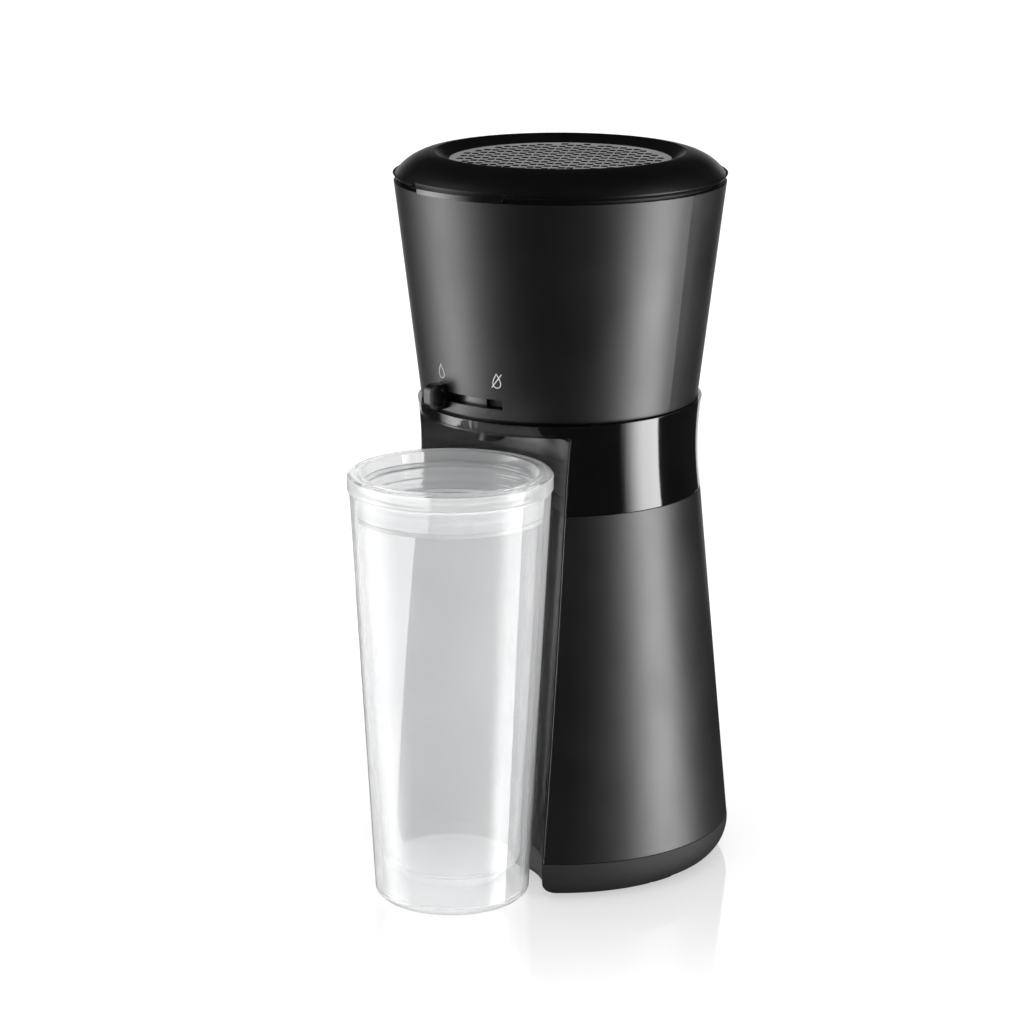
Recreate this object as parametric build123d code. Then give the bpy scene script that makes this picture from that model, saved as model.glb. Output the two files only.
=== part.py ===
from build123d import *
import os
from math import atan2, cos, degrees, radians, sin, sqrt

os.makedirs("parts", exist_ok=True)

# Driving heights, stacked up from the worktop
base_clearance = 1.2
base_seam_z = 16.0
body_height = 143.1
collar_height = 37.7
cone_height = 89.4
lid_height = 11.8

# Driving radii about the upright axis of the machine
base_seam_radius = 72.1
base_bulge_inset = 1.2
base_bulge_rise = 5.5
base_bottom_inset = 6.1
body_top_radius = 58.8
collar_waist_inset = 1.2
collar_waist_rise = 18.5
collar_lip_proud = 0.2
collar_lean = 0.8
collar_lip_drop = 0.3
cone_bottom_inset = 1.6
cone_flare = 10.8
lid_overhang = 0.4

# Walls and clearances
wall = 2.4
panel_wall = 2.2
tank_wall = 2.0
seam_gap = 0.2
slide_gap = 0.3
seat_gap = 0.2
pin_gap = 0.05
inner_gap = 1.3
beyond = 200.0

# Niche that the tumbler stands in, a scoop about its own upright axis
niche_axis_distance = 89.8
niche_bottom_radius = 50.5
niche_flare = 9.3
niche_undercut = 6.0
niche_undercut_height = 6.5
niche_ceiling_drop = 5.9
niche_half_width = 40.0
niche_corner_radius = 3.5
niche_lip = 0.7
hood_groove_rise = 6.0
hood_groove_width = 0.4
hood_groove_depth = 0.3

# Feet, bottom cover and its screws
foot_radius = 6.0
foot_recess = 0.6
foot_inset = 14.6
foot_angles = (52.9, 135.0)
cover_thickness = 2.0
screw_radius = 1.5
screw_head_radius = 3.0
screw_head_height = 1.2
screw_slot_width = 0.8
cover_screw_length = 9.0
post_radius = 4.0
post_inset = 8.7
post_angles = (65.2, 157.0)
base_deck_thickness = 2.4
side_notch_first = 84.0
side_notch_last = 107.0
side_notch_height = 1.2
side_notch_depth = 9.0

# Posts that the body screws enter and the tank stands on
body_post_inset = 7.1
body_post_angles = (75.0, 115.0)
body_screw_length = 14.0

# Water tank and the chute that fills it
tank_rise = 36.0
tank_outlet_place = (22.0, 44.0)
tank_outlet_bore = 3.0
chute_front_y = 27.0
chute_inset = 5.1
chute_top_inset = 9.6
chute_flange = 2.0
tank_seal_thickness = 1.2
riser_inset = 11.3
riser_groove_gap = 1.6

# Heater on its plate
heater_plate_width = 78.0
heater_plate_gap = 6.1
heater_plate_thickness = 2.0
heater_plate_corner = 12.0
heater_plate_back_y = 37.0
heater_post_height = 4.0
heater_screw_x = 34.0
heater_screw_inset = 6.0
heater_screw_length = 7.0
heater_y = 8.0
heater_tube_radius = 5.5
heater_tube_bore = 4.0
heater_bend_radius = 16.0
heater_leg = 18.0
element_radius = 3.5
element_offset = 9.5
thermostat_radius = 7.0
thermostat_height = 7.0
thermostat_step = 0.75
thermostat_back = 8.0
terminal_height = 4.0
terminal_width = 3.0
terminal_thickness = 0.8
fuse_radius = 2.4
fuse_length = 11.0
fuse_y = 21.0

# Hoses and the valve under the tank
hose_radius = 4.0
hose_bore = 2.7
hose_bend_radius = 8.0
hose_straight = 8.0
clip_thickness = 1.2
clip_height = 4.0
check_valve_radius = 5.0
check_valve_height = 6.0
outlet_height = 11.0
outlet_flange_radius = 8.0
outlet_flange_height = 1.6

# Decks, well, basket, filter and spout
top_deck_drop = 22.2
top_deck_thickness = 2.4
deck_ledge_depth = 3.0
deck_ledge_height = 3.0
lower_deck_rise = 1.8
lower_deck_thickness = 2.0
sleeve_wall = 2.0
well_y = -16.0
well_top_radius = 41.5
well_bottom_radius = 31.5
well_spigot_height = 2.2
well_spigot_wall = 1.8
drain_distance = 38.0
drain_bore = 3.5
basket_gap = 1.0
basket_flange_width = 4.0
basket_flange_height = 2.0
basket_grip_width = 12.0
basket_grip_height = 5.0
basket_grip_thickness = 2.4
filter_gap = 0.6
filter_wall = 1.4
filter_windows = 10
filter_window_width = 12.0
filter_window_low = 6.0
filter_window_high = 40.0
filter_floor_rim = 4.0
mesh_thickness = 0.4
mesh_gap = 0.15
mesh_overlap = 3.0
spout_radius = 5.2
spout_bore = 3.4
spout_drop = 11.0
spout_lean = 24.0
spout_flange_radius = 9.0
spout_flange_height = 2.0
ceiling_hole_gap = 1.5

# Drip stop slider in its slot
slot_half_angle = 16.3
slot_rise = 4.6
slot_height = 4.0
lever_angle = -14.3
lever_width = 4.4
lever_height = 10.2
lever_proud = 9.2
lever_corner = 3.2
lever_pocket_depth = 0.7
lever_pocket_inset = 1.7
lever_stem_width = 3.0
apron_half_angle = 21.7
apron_height = 6.6
apron_thickness = 2.2
shutter_thickness = 2.2
shutter_radius = 6.5
shutter_arm_width = 9.0
shutter_swing = 28.6

# Lid, its grille, tab and hinge
lid_gap = 1.3
lid_edge_height = 1.9
lid_edge_inset = 1.2
lid_crown_inset = 16.4
lid_slope_inset = 6.4
lid_slope_drop = 3.5
lid_shoulder_inset = 0.5
lid_shoulder_drop = 9.2
lid_wall = 2.4
lip_inset = 17.2
lip_slope_width = 5.8
recess_depth = 3.3
grille_thickness = 1.0
grille_rim = 2.2
grille_pitch = 7.4
grille_pair = 3.4
grille_slot_width = 2.8
grille_slot_length = 3.8
liner_thickness = 2.0
spigot_height = 5.6
spigot_wall = 2.0
spigot_gap = 0.9
lid_seal_height = 1.4
lid_seal_rise = 1.0
tab_half_angle = 20.0
tab_front_angle = 14.0
tab_thickness = 2.2
tab_proud = 2.6
tab_notch_angle = 20.5
tab_notch_depth = 1.2
tab_notch_height = 1.6
hinge_drop = 1.8
knuckle_radius = 3.2
knuckle_half_width = 10.0
ear_width = 5.5
ear_web = 9.0
ear_bite = 1.0
pin_radius = 1.5
channel_width = 16.0
channel_height = 5.0
channel_wall = 1.6
shower_radius = 19.0
shower_height = 3.4
shower_holes = 12
shower_hole_radius = 1.2
shower_inner_share = 0.35
shower_outer_share = 0.7

# Power button, light and switch, on the side away from the slider lever
button_rise = 18.0
button_radius = 7.0
button_proud = 1.4
button_travel = 2.0
button_length = 9.0
button_edge = 0.8
bezel_wall = 2.4
bezel_flange = 1.6
bezel_proud = 1.0
bezel_depth = 9.0
switch_gap = 2.0
switch_depth = 13.0
switch_height = 16.0
switch_plug_depth = 5.0
switch_leg_height = 6.0
plunger_radius = 3.0
plunger_entry = 3.0
light_radius = 1.8
light_rise = 14.4
light_proud = 0.4
light_length = 3.6

# Cord gland at the back of the base, and the wires
gland_z = 8.4
gland_bore = 3.0
gland_radius = 4.4
gland_flange_radius = 5.6
gland_flange_thickness = 1.6
gland_length = 12.0
gland_boss_rim = 1.0
gland_boss_proud = 1.6
wire_radius = 1.3
wire_pitch = 3.4
wire_start_gap = 0.9
wire_bend_radius = 2.5
wire_hole_radius = 6.0
wire_hole_place = (7.3, 42.0)
wire_rise = 14.0
wire_bridge_rise = 18.0
wire_side_run = 3.5

# Double-walled tumbler
tumbler_headroom = 13.1
tumbler_x = 3.9
tumbler_back_gap = 2.7
tumbler_flare = 10.0
tumbler_rim_height = 6.6
tumbler_rim_edge = 1.0
tumbler_shoulder_step = 0.8
tumbler_bottom_radius = 31.4
tumbler_bottom_corner = 2.4
tumbler_foot_width = 5.0
tumbler_foot_height = 0.6
tumbler_wall = 1.8
tumbler_gap = 2.2
liner_wall = 1.8
liner_raise = 12.0
liner_corner = 6.0
liner_boss_radius = 18.0
liner_boss_height = 4.0
thread_count = 4
thread_start = 5.0
thread_pitch = 4.2
thread_depth = 0.9
thread_height = 1.4
skirt_drop = 16.2
tumbler_seal_height = 1.6

# Heights worked out from the sizes above
collar_seam_z = base_seam_z + body_height
collar_waist_z = collar_seam_z + collar_waist_rise
cone_bottom_z = collar_seam_z + collar_height
collar_top_z = cone_bottom_z - collar_lip_drop
lid_seam_z = cone_bottom_z + cone_height
lid_bottom_z = lid_seam_z + lid_gap
lid_top_z = lid_seam_z + lid_height
recess_z = lid_top_z - recess_depth
tab_z = lid_seam_z + slide_gap
niche_ceiling_z = cone_bottom_z - niche_ceiling_drop
tumbler_height = niche_ceiling_z - tumbler_headroom
foot_height = base_clearance + foot_recess
cover_low_z = foot_height
base_top_z = base_seam_z - seam_gap
base_deck_z = base_top_z - base_deck_thickness
tank_low_z = base_seam_z + tank_rise
tank_high_z = collar_seam_z - seam_gap - chute_flange - tank_seal_thickness
top_deck_z = lid_seam_z - top_deck_drop
top_deck_high_z = top_deck_z + top_deck_thickness
lower_deck_z = cone_bottom_z + lower_deck_rise
apron_z = lower_deck_z + lower_deck_thickness + slide_gap
shutter_high_z = apron_z + shutter_thickness
well_floor_z = shutter_high_z + slide_gap + well_spigot_height
slot_z = cone_bottom_z + slot_rise
lever_z = slot_z + slot_height / 2
heater_plate_z = base_seam_z + heater_post_height
heater_face_z = heater_plate_z + heater_plate_thickness + pin_gap
heater_tube_z = heater_face_z + heater_tube_radius
element_z = heater_face_z + element_radius
valve_low_z = tank_low_z - pin_gap - check_valve_height
button_z = base_seam_z + button_rise
light_z = button_z + light_rise
hinge_z = lid_seam_z - hinge_drop

# Radii worked out from the sizes above
base_bulge_radius = base_seam_radius - base_bulge_inset
base_bottom_radius = base_seam_radius - base_bottom_inset
body_post_circle = base_seam_radius - body_post_inset
collar_waist_radius = body_top_radius - collar_waist_inset
collar_lip_radius = body_top_radius + collar_lip_proud
cone_bottom_radius = body_top_radius - cone_bottom_inset
cone_top_radius = cone_bottom_radius + cone_flare
lever_reach = cone_bottom_radius + lever_proud
chute_radius = collar_waist_radius - chute_inset
chute_top_radius = cone_top_radius - chute_top_inset
lid_radius = cone_top_radius + lid_overhang
lid_crown_radius = lid_radius - lid_crown_inset
lid_slope_radius = lid_radius - lid_slope_inset
lip_radius = lid_radius - lip_inset
tab_root_radius = lid_radius - tab_notch_depth
recess_radius = lip_radius - lip_slope_width
niche_top_radius = niche_bottom_radius + niche_flare
tumbler_rim_radius = tumbler_bottom_radius + tumbler_flare

# Places across the machine, with the front towards minus Y
niche_y = -niche_axis_distance
niche_back_y = niche_y + niche_bottom_radius
heater_front_y = niche_back_y + panel_wall + heater_plate_gap
heater_plate_depth = heater_plate_back_y - heater_front_y
heater_plate_y = (heater_plate_back_y + heater_front_y) / 2
tumbler_distance = tumbler_bottom_radius + tumbler_back_gap - niche_back_y
riser_y = body_top_radius - riser_inset
drain_y = -drain_distance
tumbler_y = -tumbler_distance
hinge_y = lid_radius + knuckle_radius
hose_start_y = heater_y + heater_leg / 2 + pin_gap
gland_face_y = base_bulge_radius + gland_boss_proud
gland_end_y = gland_face_y - gland_length
thermostat_y = heater_y - thermostat_back
riser_groove = hose_radius + riser_groove_gap
riser_turn = hose_straight + hose_bend_radius
ear_half_length = knuckle_half_width + slide_gap + ear_width
switch_face = bezel_depth + button_travel + switch_gap
switch_half_width = button_radius + slide_gap + bezel_wall
front_reach = tumbler_distance + tumbler_rim_radius
back_reach = hinge_y + knuckle_radius
axis_y = (front_reach - back_reach) / 2

UP = (Align.CENTER, Align.CENTER, Align.MIN)


def body_radius(z):
    """Outer radius of the lower body at a height."""
    share = (z - base_seam_z) / body_height
    return base_seam_radius + (body_top_radius - base_seam_radius) * share


def cone_radius(z):
    """Outer radius of the upper housing at a height."""
    share = (z - cone_bottom_z) / cone_height
    return cone_bottom_radius + (cone_top_radius - cone_bottom_radius) * share


def niche_radius(z):
    """Radius of the scoop about the niche axis at a height."""
    share = (z - base_seam_z) / body_height
    return niche_bottom_radius + (niche_top_radius - niche_bottom_radius) * share


def well_radius(z):
    """Outer radius of the well that the basket hangs in, at a height."""
    share = (z - well_floor_z) / (top_deck_z - well_floor_z)
    return well_bottom_radius + (well_top_radius - well_bottom_radius) * share


def drum(radius, low, high, x=0.0, y=0.0):
    """Upright cylinder between two heights."""
    return Pos(x, y, low) * Cylinder(radius, high - low, align=UP)


def frustum(low_radius, high_radius, low, high, x=0.0, y=0.0):
    """Upright cone between two heights."""
    return Pos(x, y, low) * Cone(low_radius, high_radius, high - low, align=UP)


def tapered(radius_at, low, high, grow=0.0, y=0.0):
    """Upright cone that follows one of the radius functions."""
    return frustum(radius_at(low) + grow, radius_at(high) + grow, low, high, y=y)


def block(low, high):
    """Box between two corners."""
    size = [b - a for a, b in zip(low, high)]
    centre = [(a + b) / 2 for a, b in zip(low, high)]
    return Pos(*centre) * Box(*size)


def half_section(radii_and_heights):
    """Solid turned from an outline of radius and height pairs."""
    points = [(r, 0, z) for r, z in radii_and_heights]
    return revolve(make_face(Polyline(*points, close=True)), Axis.Z)


def ring_sector(inner, outer, low, high, first, last):
    """Part of a ring between two angles, counted from the front towards the right."""
    section = Polyline((inner, 0, low), (outer, 0, low), (outer, 0, high), (inner, 0, high), close=True)
    return Rot(0, 0, first - 90) * revolve(make_face(section), Axis.Z, last - first)


def front_point(radius, angle):
    """Point at an angle counted from the front towards the right."""
    return (radius * sin(radians(angle)), -radius * cos(radians(angle)), 0)


def both_sides(place):
    """A place and its mirror image across the middle of the machine."""
    x, y = place
    return [(x, y), (-x, y)]


def group(solids):
    """Separate solids kept in one node."""
    return Compound(children=[s.solids()[0] for s in solids])


def tube_along(path, radius, bore=0.0):
    """Round tube swept along a path."""
    start = Plane(origin=path @ 0, z_dir=path % 0)
    section = start * Circle(radius)
    if bore > 0:
        section -= start * Circle(bore)
    return sweep(section, path=path)


def save(shape, name):
    """Write one node, moved so that the whole part is centred over its origin."""
    solids = [Pos(0, axis_y, 0) * s for s in shape.solids()]
    whole = solids[0] if len(solids) == 1 else Compound(children=solids)
    export_step(whole, "parts/" + name + ".step")


# Niche


def scoop(low, high, grow=0.0):
    """Space of the niche between two heights, grown by a wall."""
    return tapered(niche_radius, low, high, grow, niche_y)


def base_niche(grow):
    """Niche through the base, whose lower edge rolls away under the wall."""
    edge = niche_bottom_radius + grow
    low_edge = edge + niche_undercut
    roll_z = base_clearance + niche_undercut_height
    lift = 1 - sin(radians(45))
    middle = (edge + niche_undercut * lift, 0, base_clearance + niche_undercut_height * lift)
    outline = [
        Line((0, 0, 0), (low_edge, 0, 0)),
        Line((low_edge, 0, 0), (low_edge, 0, base_clearance)),
        ThreePointArc((low_edge, 0, base_clearance), middle, (edge, 0, roll_z)),
        Line((edge, 0, roll_z), (edge, 0, base_seam_z)),
        Line((edge, 0, base_seam_z), (0, 0, base_seam_z)),
        Line((0, 0, base_seam_z), (0, 0, 0)),
    ]
    return Pos(0, niche_y, 0) * revolve(make_face(outline), Axis.Z)


def niche_door(grow):
    """Upright opening towards the front with rounded top corners."""
    high = niche_ceiling_z + grow
    low = base_seam_z
    sketch = RectangleRounded(2 * (niche_half_width + grow), high - low, niche_corner_radius)
    front = Plane(origin=(0, 0, (low + high) / 2), x_dir=(1, 0, 0), z_dir=(0, -1, 0))
    return extrude(front * sketch, beyond)


def hood_space(grow=0.0):
    """Space of the niche inside the collar, grown by a wall."""
    return scoop(collar_seam_z, niche_ceiling_z + grow, grow) & niche_door(grow)


# Base


def base_outline(inset):
    """Turned body of the base, moved inwards by a wall."""
    low = (base_bottom_radius - inset, 0, base_clearance)
    middle = (base_bulge_radius - inset, 0, base_clearance + base_bulge_rise)
    high = (base_seam_radius - inset, 0, base_top_z)
    outline = [
        Line((0, 0, base_clearance), low),
        ThreePointArc(low, middle, high),
        Line(high, (0, 0, base_top_z)),
        Line((0, 0, base_top_z), (0, 0, base_clearance)),
    ]
    return revolve(make_face(outline), Axis.Z)


def on_circle(radius, angles):
    """Places on a circle about the axis of the machine at angles from the front, on both sides."""
    places = []
    for angle in angles:
        places += both_sides((radius * sin(radians(angle)), -radius * cos(radians(angle))))
    return places


def cover_posts():
    return on_circle(base_bottom_radius - post_inset, post_angles)


def heater_posts():
    front = (heater_screw_x, heater_front_y + heater_screw_inset)
    back = (heater_screw_x, heater_plate_back_y - heater_screw_inset)
    return both_sides(front) + both_sides(back)


def body_posts():
    return on_circle(body_post_circle, body_post_angles)


def gland_bar(radius, near, far):
    """Round bar through the back of the base along the line of the gland."""
    return Pos(0, near, gland_z) * Rot(-90, 0, 0) * Cylinder(radius, far - near, align=UP)


def side_notches():
    """Shallow reliefs under the sides of the base."""
    inner = base_bottom_radius - side_notch_depth
    high = base_clearance + side_notch_height
    right = ring_sector(inner, beyond, 0, high, side_notch_first, side_notch_last)
    left = ring_sector(inner, beyond, 0, high, -side_notch_last, -side_notch_first)
    return right + left


def make_base_housing():
    inside = base_outline(wall) - base_niche(wall)
    inside &= drum(beyond, base_clearance, base_deck_z)
    body = base_outline(0) - base_niche(0) - inside
    body += gland_bar(gland_flange_radius + gland_boss_rim, base_bottom_radius, gland_face_y)
    body -= gland_bar(beyond, 0, base_bottom_radius) & inside
    for x, y in cover_posts():
        body += drum(post_radius, cover_low_z + cover_thickness + seat_gap, base_deck_z + wall / 2, x, y)
        body -= drum(screw_radius, 0, base_deck_z, x, y)
    for x, y in heater_posts():
        body += drum(post_radius, base_deck_z + wall / 2, heater_plate_z - seat_gap, x, y)
        body -= drum(screw_radius, heater_plate_z - heater_screw_length, heater_plate_z, x, y)
    for x, y in body_posts():
        body -= drum(screw_radius + seat_gap, 0, base_seam_z, x, y)
    body -= drum(wire_hole_radius, 0, base_seam_z, *wire_hole_place)
    body -= gland_bar(gland_radius + seat_gap, 0, beyond)
    return body - side_notches()


def make_bottom_cover():
    high = cover_low_z + cover_thickness
    radius = base_bottom_radius - wall - slide_gap
    plate = drum(radius, cover_low_z, high) - base_niche(wall + slide_gap)
    for x, y in cover_posts():
        plate -= drum(screw_radius + seat_gap, cover_low_z, high, x, y)
        plate -= drum(screw_head_radius + seat_gap, cover_low_z, cover_low_z + screw_head_height, x, y)
    return plate


def make_rubber_feet():
    places = on_circle(base_bottom_radius - foot_inset, foot_angles)
    return group([drum(foot_radius, 0, foot_height, x, y) for x, y in places])


def screw_up(x, y, head_low, length):
    """Slotted screw that is driven upwards, with its head at the bottom."""
    head_high = head_low + screw_head_height
    half = screw_slot_width / 2
    head = drum(screw_head_radius, head_low, head_high, x, y)
    slot_high = head_low + screw_head_height / 2
    head -= block((x - screw_head_radius, y - half, head_low), (x + screw_head_radius, y + half, slot_high))
    return head + drum(screw_radius - pin_gap, head_high, head_low + length, x, y)


def make_cover_screws():
    low = cover_low_z - pin_gap
    return group([screw_up(x, y, low, cover_screw_length) for x, y in cover_posts()])


def make_body_screws():
    low = base_deck_z - screw_head_height - pin_gap
    return group([screw_up(x, y, low, body_screw_length) for x, y in body_posts()])


# Lower body


def make_body_shell():
    shell = tapered(body_radius, base_seam_z, collar_seam_z - seam_gap)
    shell -= tapered(body_radius, base_seam_z, collar_seam_z - seam_gap, -wall)
    room = tapered(body_radius, base_seam_z, collar_seam_z, -wall / 2)
    for x, y in body_posts():
        post = drum(post_radius, base_seam_z, tank_low_z - seat_gap, x, y)
        post -= drum(screw_radius, base_seam_z, base_seam_z + body_screw_length, x, y)
        shell += post & room
    shell -= scoop(base_seam_z, collar_seam_z, niche_lip + seam_gap)
    shell -= side_bar(button_radius + slide_gap + bezel_wall + seat_gap, button_z)
    return shell - side_bar(light_radius + seat_gap, light_z)


def make_niche_panel():
    high = collar_seam_z - seam_gap
    space = scoop(base_seam_z, high)
    panel = scoop(base_seam_z, high, panel_wall) - space
    panel &= tapered(body_radius, base_seam_z, high, -wall - seat_gap)
    lip = scoop(base_seam_z, high, niche_lip) - space
    return panel + (lip & tapered(body_radius, base_seam_z, high))


# Collar and the hood of the niche


def collar_outline(inset):
    """Waisted band under the cone, moved inwards by a wall."""
    high = collar_top_z + collar_lean
    low_point = (body_top_radius - inset, 0, collar_seam_z)
    waist = (collar_waist_radius - inset, 0, collar_waist_z)
    lip = (collar_lip_radius - inset, 0, high)
    outline = [
        Line((0, 0, collar_seam_z), low_point),
        ThreePointArc(low_point, waist, lip),
        Line(lip, (0, 0, high)),
        Line((0, 0, high), (0, 0, collar_seam_z)),
    ]
    return revolve(make_face(outline), Axis.Z)


def above_collar():
    """Space over the slightly leaning top edge of the collar."""
    lean = degrees(atan2(collar_lean, collar_lip_radius))
    return Pos(0, 0, collar_top_z) * Rot(lean, 0, 0) * Box(beyond, beyond, beyond, align=UP)


def make_collar_band():
    band = collar_outline(0) - collar_outline(wall)
    band -= hood_space(niche_lip + seam_gap)
    band -= tapered(cone_radius, cone_bottom_z - seat_gap, lid_seam_z, slide_gap)
    return band - above_collar()


def make_niche_hood():
    space = hood_space()
    inside = collar_outline(wall + seat_gap)
    hood = (hood_space(panel_wall) - space) & inside
    hood += (hood_space(niche_lip) - space) & collar_outline(0)
    groove_low = collar_seam_z + hood_groove_rise
    groove = scoop(groove_low, groove_low + hood_groove_width, hood_groove_depth)
    hood -= groove
    hole = spout_radius / cos(radians(spout_lean)) + ceiling_hole_gap
    pass_y = drain_y - (lower_deck_z - niche_ceiling_z) * sin(radians(spout_lean)) / cos(radians(spout_lean))
    return hood - drum(hole, niche_ceiling_z, niche_ceiling_z + panel_wall, 0, pass_y)


# Upper housing


def hinge_bar(radius, half_length):
    """Round bar along the hinge line."""
    return Pos(0, hinge_y, hinge_z) * Rot(0, 90, 0) * Cylinder(radius, 2 * half_length)


def make_ears():
    """Two lugs at the back that hold the hinge pin."""
    root_y = cone_radius(hinge_z - ear_web) - ear_bite
    side = Polyline(
        (0, root_y, hinge_z - ear_web),
        (0, hinge_y + knuckle_radius, hinge_z),
        (0, root_y, hinge_z),
        close=True,
    )
    web = extrude(make_face(side), ear_half_length, dir=(1, 0, 0), both=True)
    ears = web + hinge_bar(knuckle_radius, ear_half_length)
    gap = knuckle_half_width + slide_gap
    ears -= block((-gap, 0, cone_bottom_z), (gap, beyond, lid_top_z))
    ears -= tapered(cone_radius, cone_bottom_z, lid_top_z, -ear_bite)
    return ears - hinge_bar(pin_radius + pin_gap, ear_half_length)


def make_upper_housing():
    shell = tapered(cone_radius, cone_bottom_z, lid_seam_z)
    shell -= tapered(cone_radius, cone_bottom_z, lid_seam_z, -wall)
    sleeve_radius = collar_waist_radius - wall - seat_gap
    sleeve_high = lower_deck_z - seat_gap
    sleeve_low = niche_ceiling_z + panel_wall + seat_gap
    sleeve = drum(sleeve_radius, sleeve_low, sleeve_high)
    sleeve += drum(cone_bottom_radius - wall / 2, cone_bottom_z, sleeve_high)
    sleeve -= drum(sleeve_radius - sleeve_wall, sleeve_low, sleeve_high)
    ledge_high = top_deck_z - seat_gap
    ledge_low = ledge_high - deck_ledge_height
    ledge = tapered(cone_radius, ledge_low, ledge_high, -wall / 2)
    ledge -= tapered(cone_radius, ledge_low, ledge_high, -wall - deck_ledge_depth)
    slot = ring_sector(apron_outer(), beyond, slot_z, slot_z + slot_height, -slot_half_angle, slot_half_angle)
    return shell + sleeve + ledge + make_ears() - slot


def make_hinge_pin():
    return hinge_bar(pin_radius, ear_half_length)


# Decks, basket, filter and spout


def chute_section(grow):
    """Back part of the housing that carries water, grown by a wall."""
    high = lid_seam_z
    outer = drum(chute_radius + grow, base_seam_z, cone_bottom_z)
    outer += frustum(chute_radius + grow, chute_top_radius + grow, cone_bottom_z, high)
    outer &= block((-beyond, chute_front_y - grow, base_seam_z), (beyond, beyond, high))
    outer -= drum(riser_groove - grow, base_seam_z, high, 0, riser_y)
    return outer - riser_slot(-grow)


def riser_slot(grow):
    """Opens the groove of the riser out to the back."""
    half = riser_groove + grow
    return block((-half, riser_y, 0), (half, beyond, lid_top_z))


def make_top_deck():
    radius = cone_radius(top_deck_z) - wall - slide_gap
    deck = drum(radius, top_deck_z, top_deck_high_z)
    deck += tapered(well_radius, well_floor_z, top_deck_z, y=well_y)
    spigot_low = shutter_high_z + slide_gap
    deck += drum(drain_bore + well_spigot_wall, spigot_low, well_floor_z + panel_wall, 0, drain_y)
    deck -= tapered(well_radius, well_floor_z + panel_wall, top_deck_high_z, -panel_wall, well_y)
    deck -= drum(drain_bore, spigot_low, top_deck_z, 0, drain_y)
    deck -= chute_section(-tank_wall)
    return deck - drum(hose_radius + pin_gap, top_deck_z, top_deck_high_z, 0, riser_y)


def cup(low, high, inset, thickness):
    """Tapered cup that stands in the well."""
    outside = tapered(well_radius, low, high, -inset, well_y)
    return outside - tapered(well_radius, low + thickness, high, -inset - thickness, well_y)


basket_inset = panel_wall + basket_gap
basket_low = well_floor_z + panel_wall + basket_gap
basket_flange_z = top_deck_high_z + seat_gap
basket_high = basket_flange_z + basket_flange_height


def make_brew_basket():
    basket = cup(basket_low, basket_high, basket_inset, tank_wall)
    outer = well_top_radius - basket_inset + basket_flange_width
    inner = well_radius(basket_high) - basket_inset - tank_wall / 2
    basket += drum(outer, basket_flange_z, basket_high, y=well_y) - drum(inner, 0, basket_high, y=well_y)
    half = basket_grip_width / 2
    grip_high = basket_high + basket_grip_height
    grips = drum(outer, basket_flange_z, grip_high, y=well_y)
    grips -= drum(outer - basket_grip_thickness, basket_flange_z, grip_high, y=well_y)
    basket += grips & block((-beyond, well_y - half, basket_flange_z), (beyond, well_y + half, grip_high))
    return basket - drum(drain_bore, basket_low, basket_low + tank_wall, 0, drain_y)


filter_inset = basket_inset + tank_wall + filter_gap
filter_low = basket_low + tank_wall + seat_gap


def make_filter_frame():
    frame = cup(filter_low, basket_high, filter_inset, filter_wall)
    low = filter_low + filter_window_low
    high = filter_low + filter_window_high
    half = filter_window_width / 2
    for i in range(filter_windows):
        window = block((0, -half, low), (well_top_radius, half, high))
        frame -= Pos(0, well_y, 0) * Rot(0, 0, 360 * (i + 0.5) / filter_windows) * window
    hole = well_radius(filter_low) - filter_inset - filter_floor_rim
    return frame - drum(hole, filter_low, filter_low + filter_wall, y=well_y)


def make_filter_mesh():
    low = filter_low + filter_wall + mesh_gap
    high = filter_low + filter_window_high + mesh_overlap
    return cup(low, high, filter_inset + filter_wall + mesh_gap, mesh_thickness)


def make_lower_deck():
    high = lower_deck_z + lower_deck_thickness
    plate = drum(cone_radius(lower_deck_z) - wall - seat_gap, lower_deck_z, high)
    plate -= chute_section(seat_gap)
    plate -= riser_slot(0) + drum(riser_groove, lower_deck_z, high, 0, riser_y)
    return plate - drum(drain_bore, lower_deck_z, high, 0, drain_y)


def make_spout():
    high = lower_deck_z - seat_gap
    flange_low = high - spout_flange_height
    tip = flange_low - spout_drop
    lean = Pos(0, drain_y, high) * Rot(180 - spout_lean, 0, 0)
    nozzle = lean * Cylinder(spout_radius, 2 * spout_drop, align=UP)
    nozzle &= block((-beyond, -beyond, tip), (beyond, beyond, high))
    flange = drum(spout_flange_radius, flange_low, high, 0, drain_y)
    return flange + nozzle - lean * Cylinder(spout_bore, 3 * spout_drop, align=UP)


# Drip stop slider


def apron_outer():
    """Outer radius of the curved strip behind the slot."""
    return cone_radius(apron_z) - wall - slide_gap


def make_fin():
    """Lever outside the slot, with a shallow pocket in each side."""
    inner = cone_bottom_radius - wall
    upright = {"x_dir": (1, 0, 0), "z_dir": (0, -1, 0)}
    side = Plane(origin=((inner + lever_reach) / 2, 0, lever_z), **upright)
    outline = RectangleRounded(lever_reach - inner, lever_height, lever_corner)
    fin = extrude(side * outline, lever_width / 2, both=True)
    pocket_length = lever_reach - cone_radius(lever_z) - 2 * lever_pocket_inset
    pocket_x = lever_reach - lever_pocket_inset - pocket_length / 2
    pocket = RectangleRounded(pocket_length, lever_height - 2 * lever_pocket_inset, lever_corner / 2)
    for sign in (-1, 1):
        face = Plane(origin=(pocket_x, sign * lever_width / 2, lever_z), **upright)
        fin -= extrude(face * pocket, lever_pocket_depth, both=True)
    return fin - tapered(cone_radius, cone_bottom_z - lever_height, lid_seam_z, slide_gap)


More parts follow.
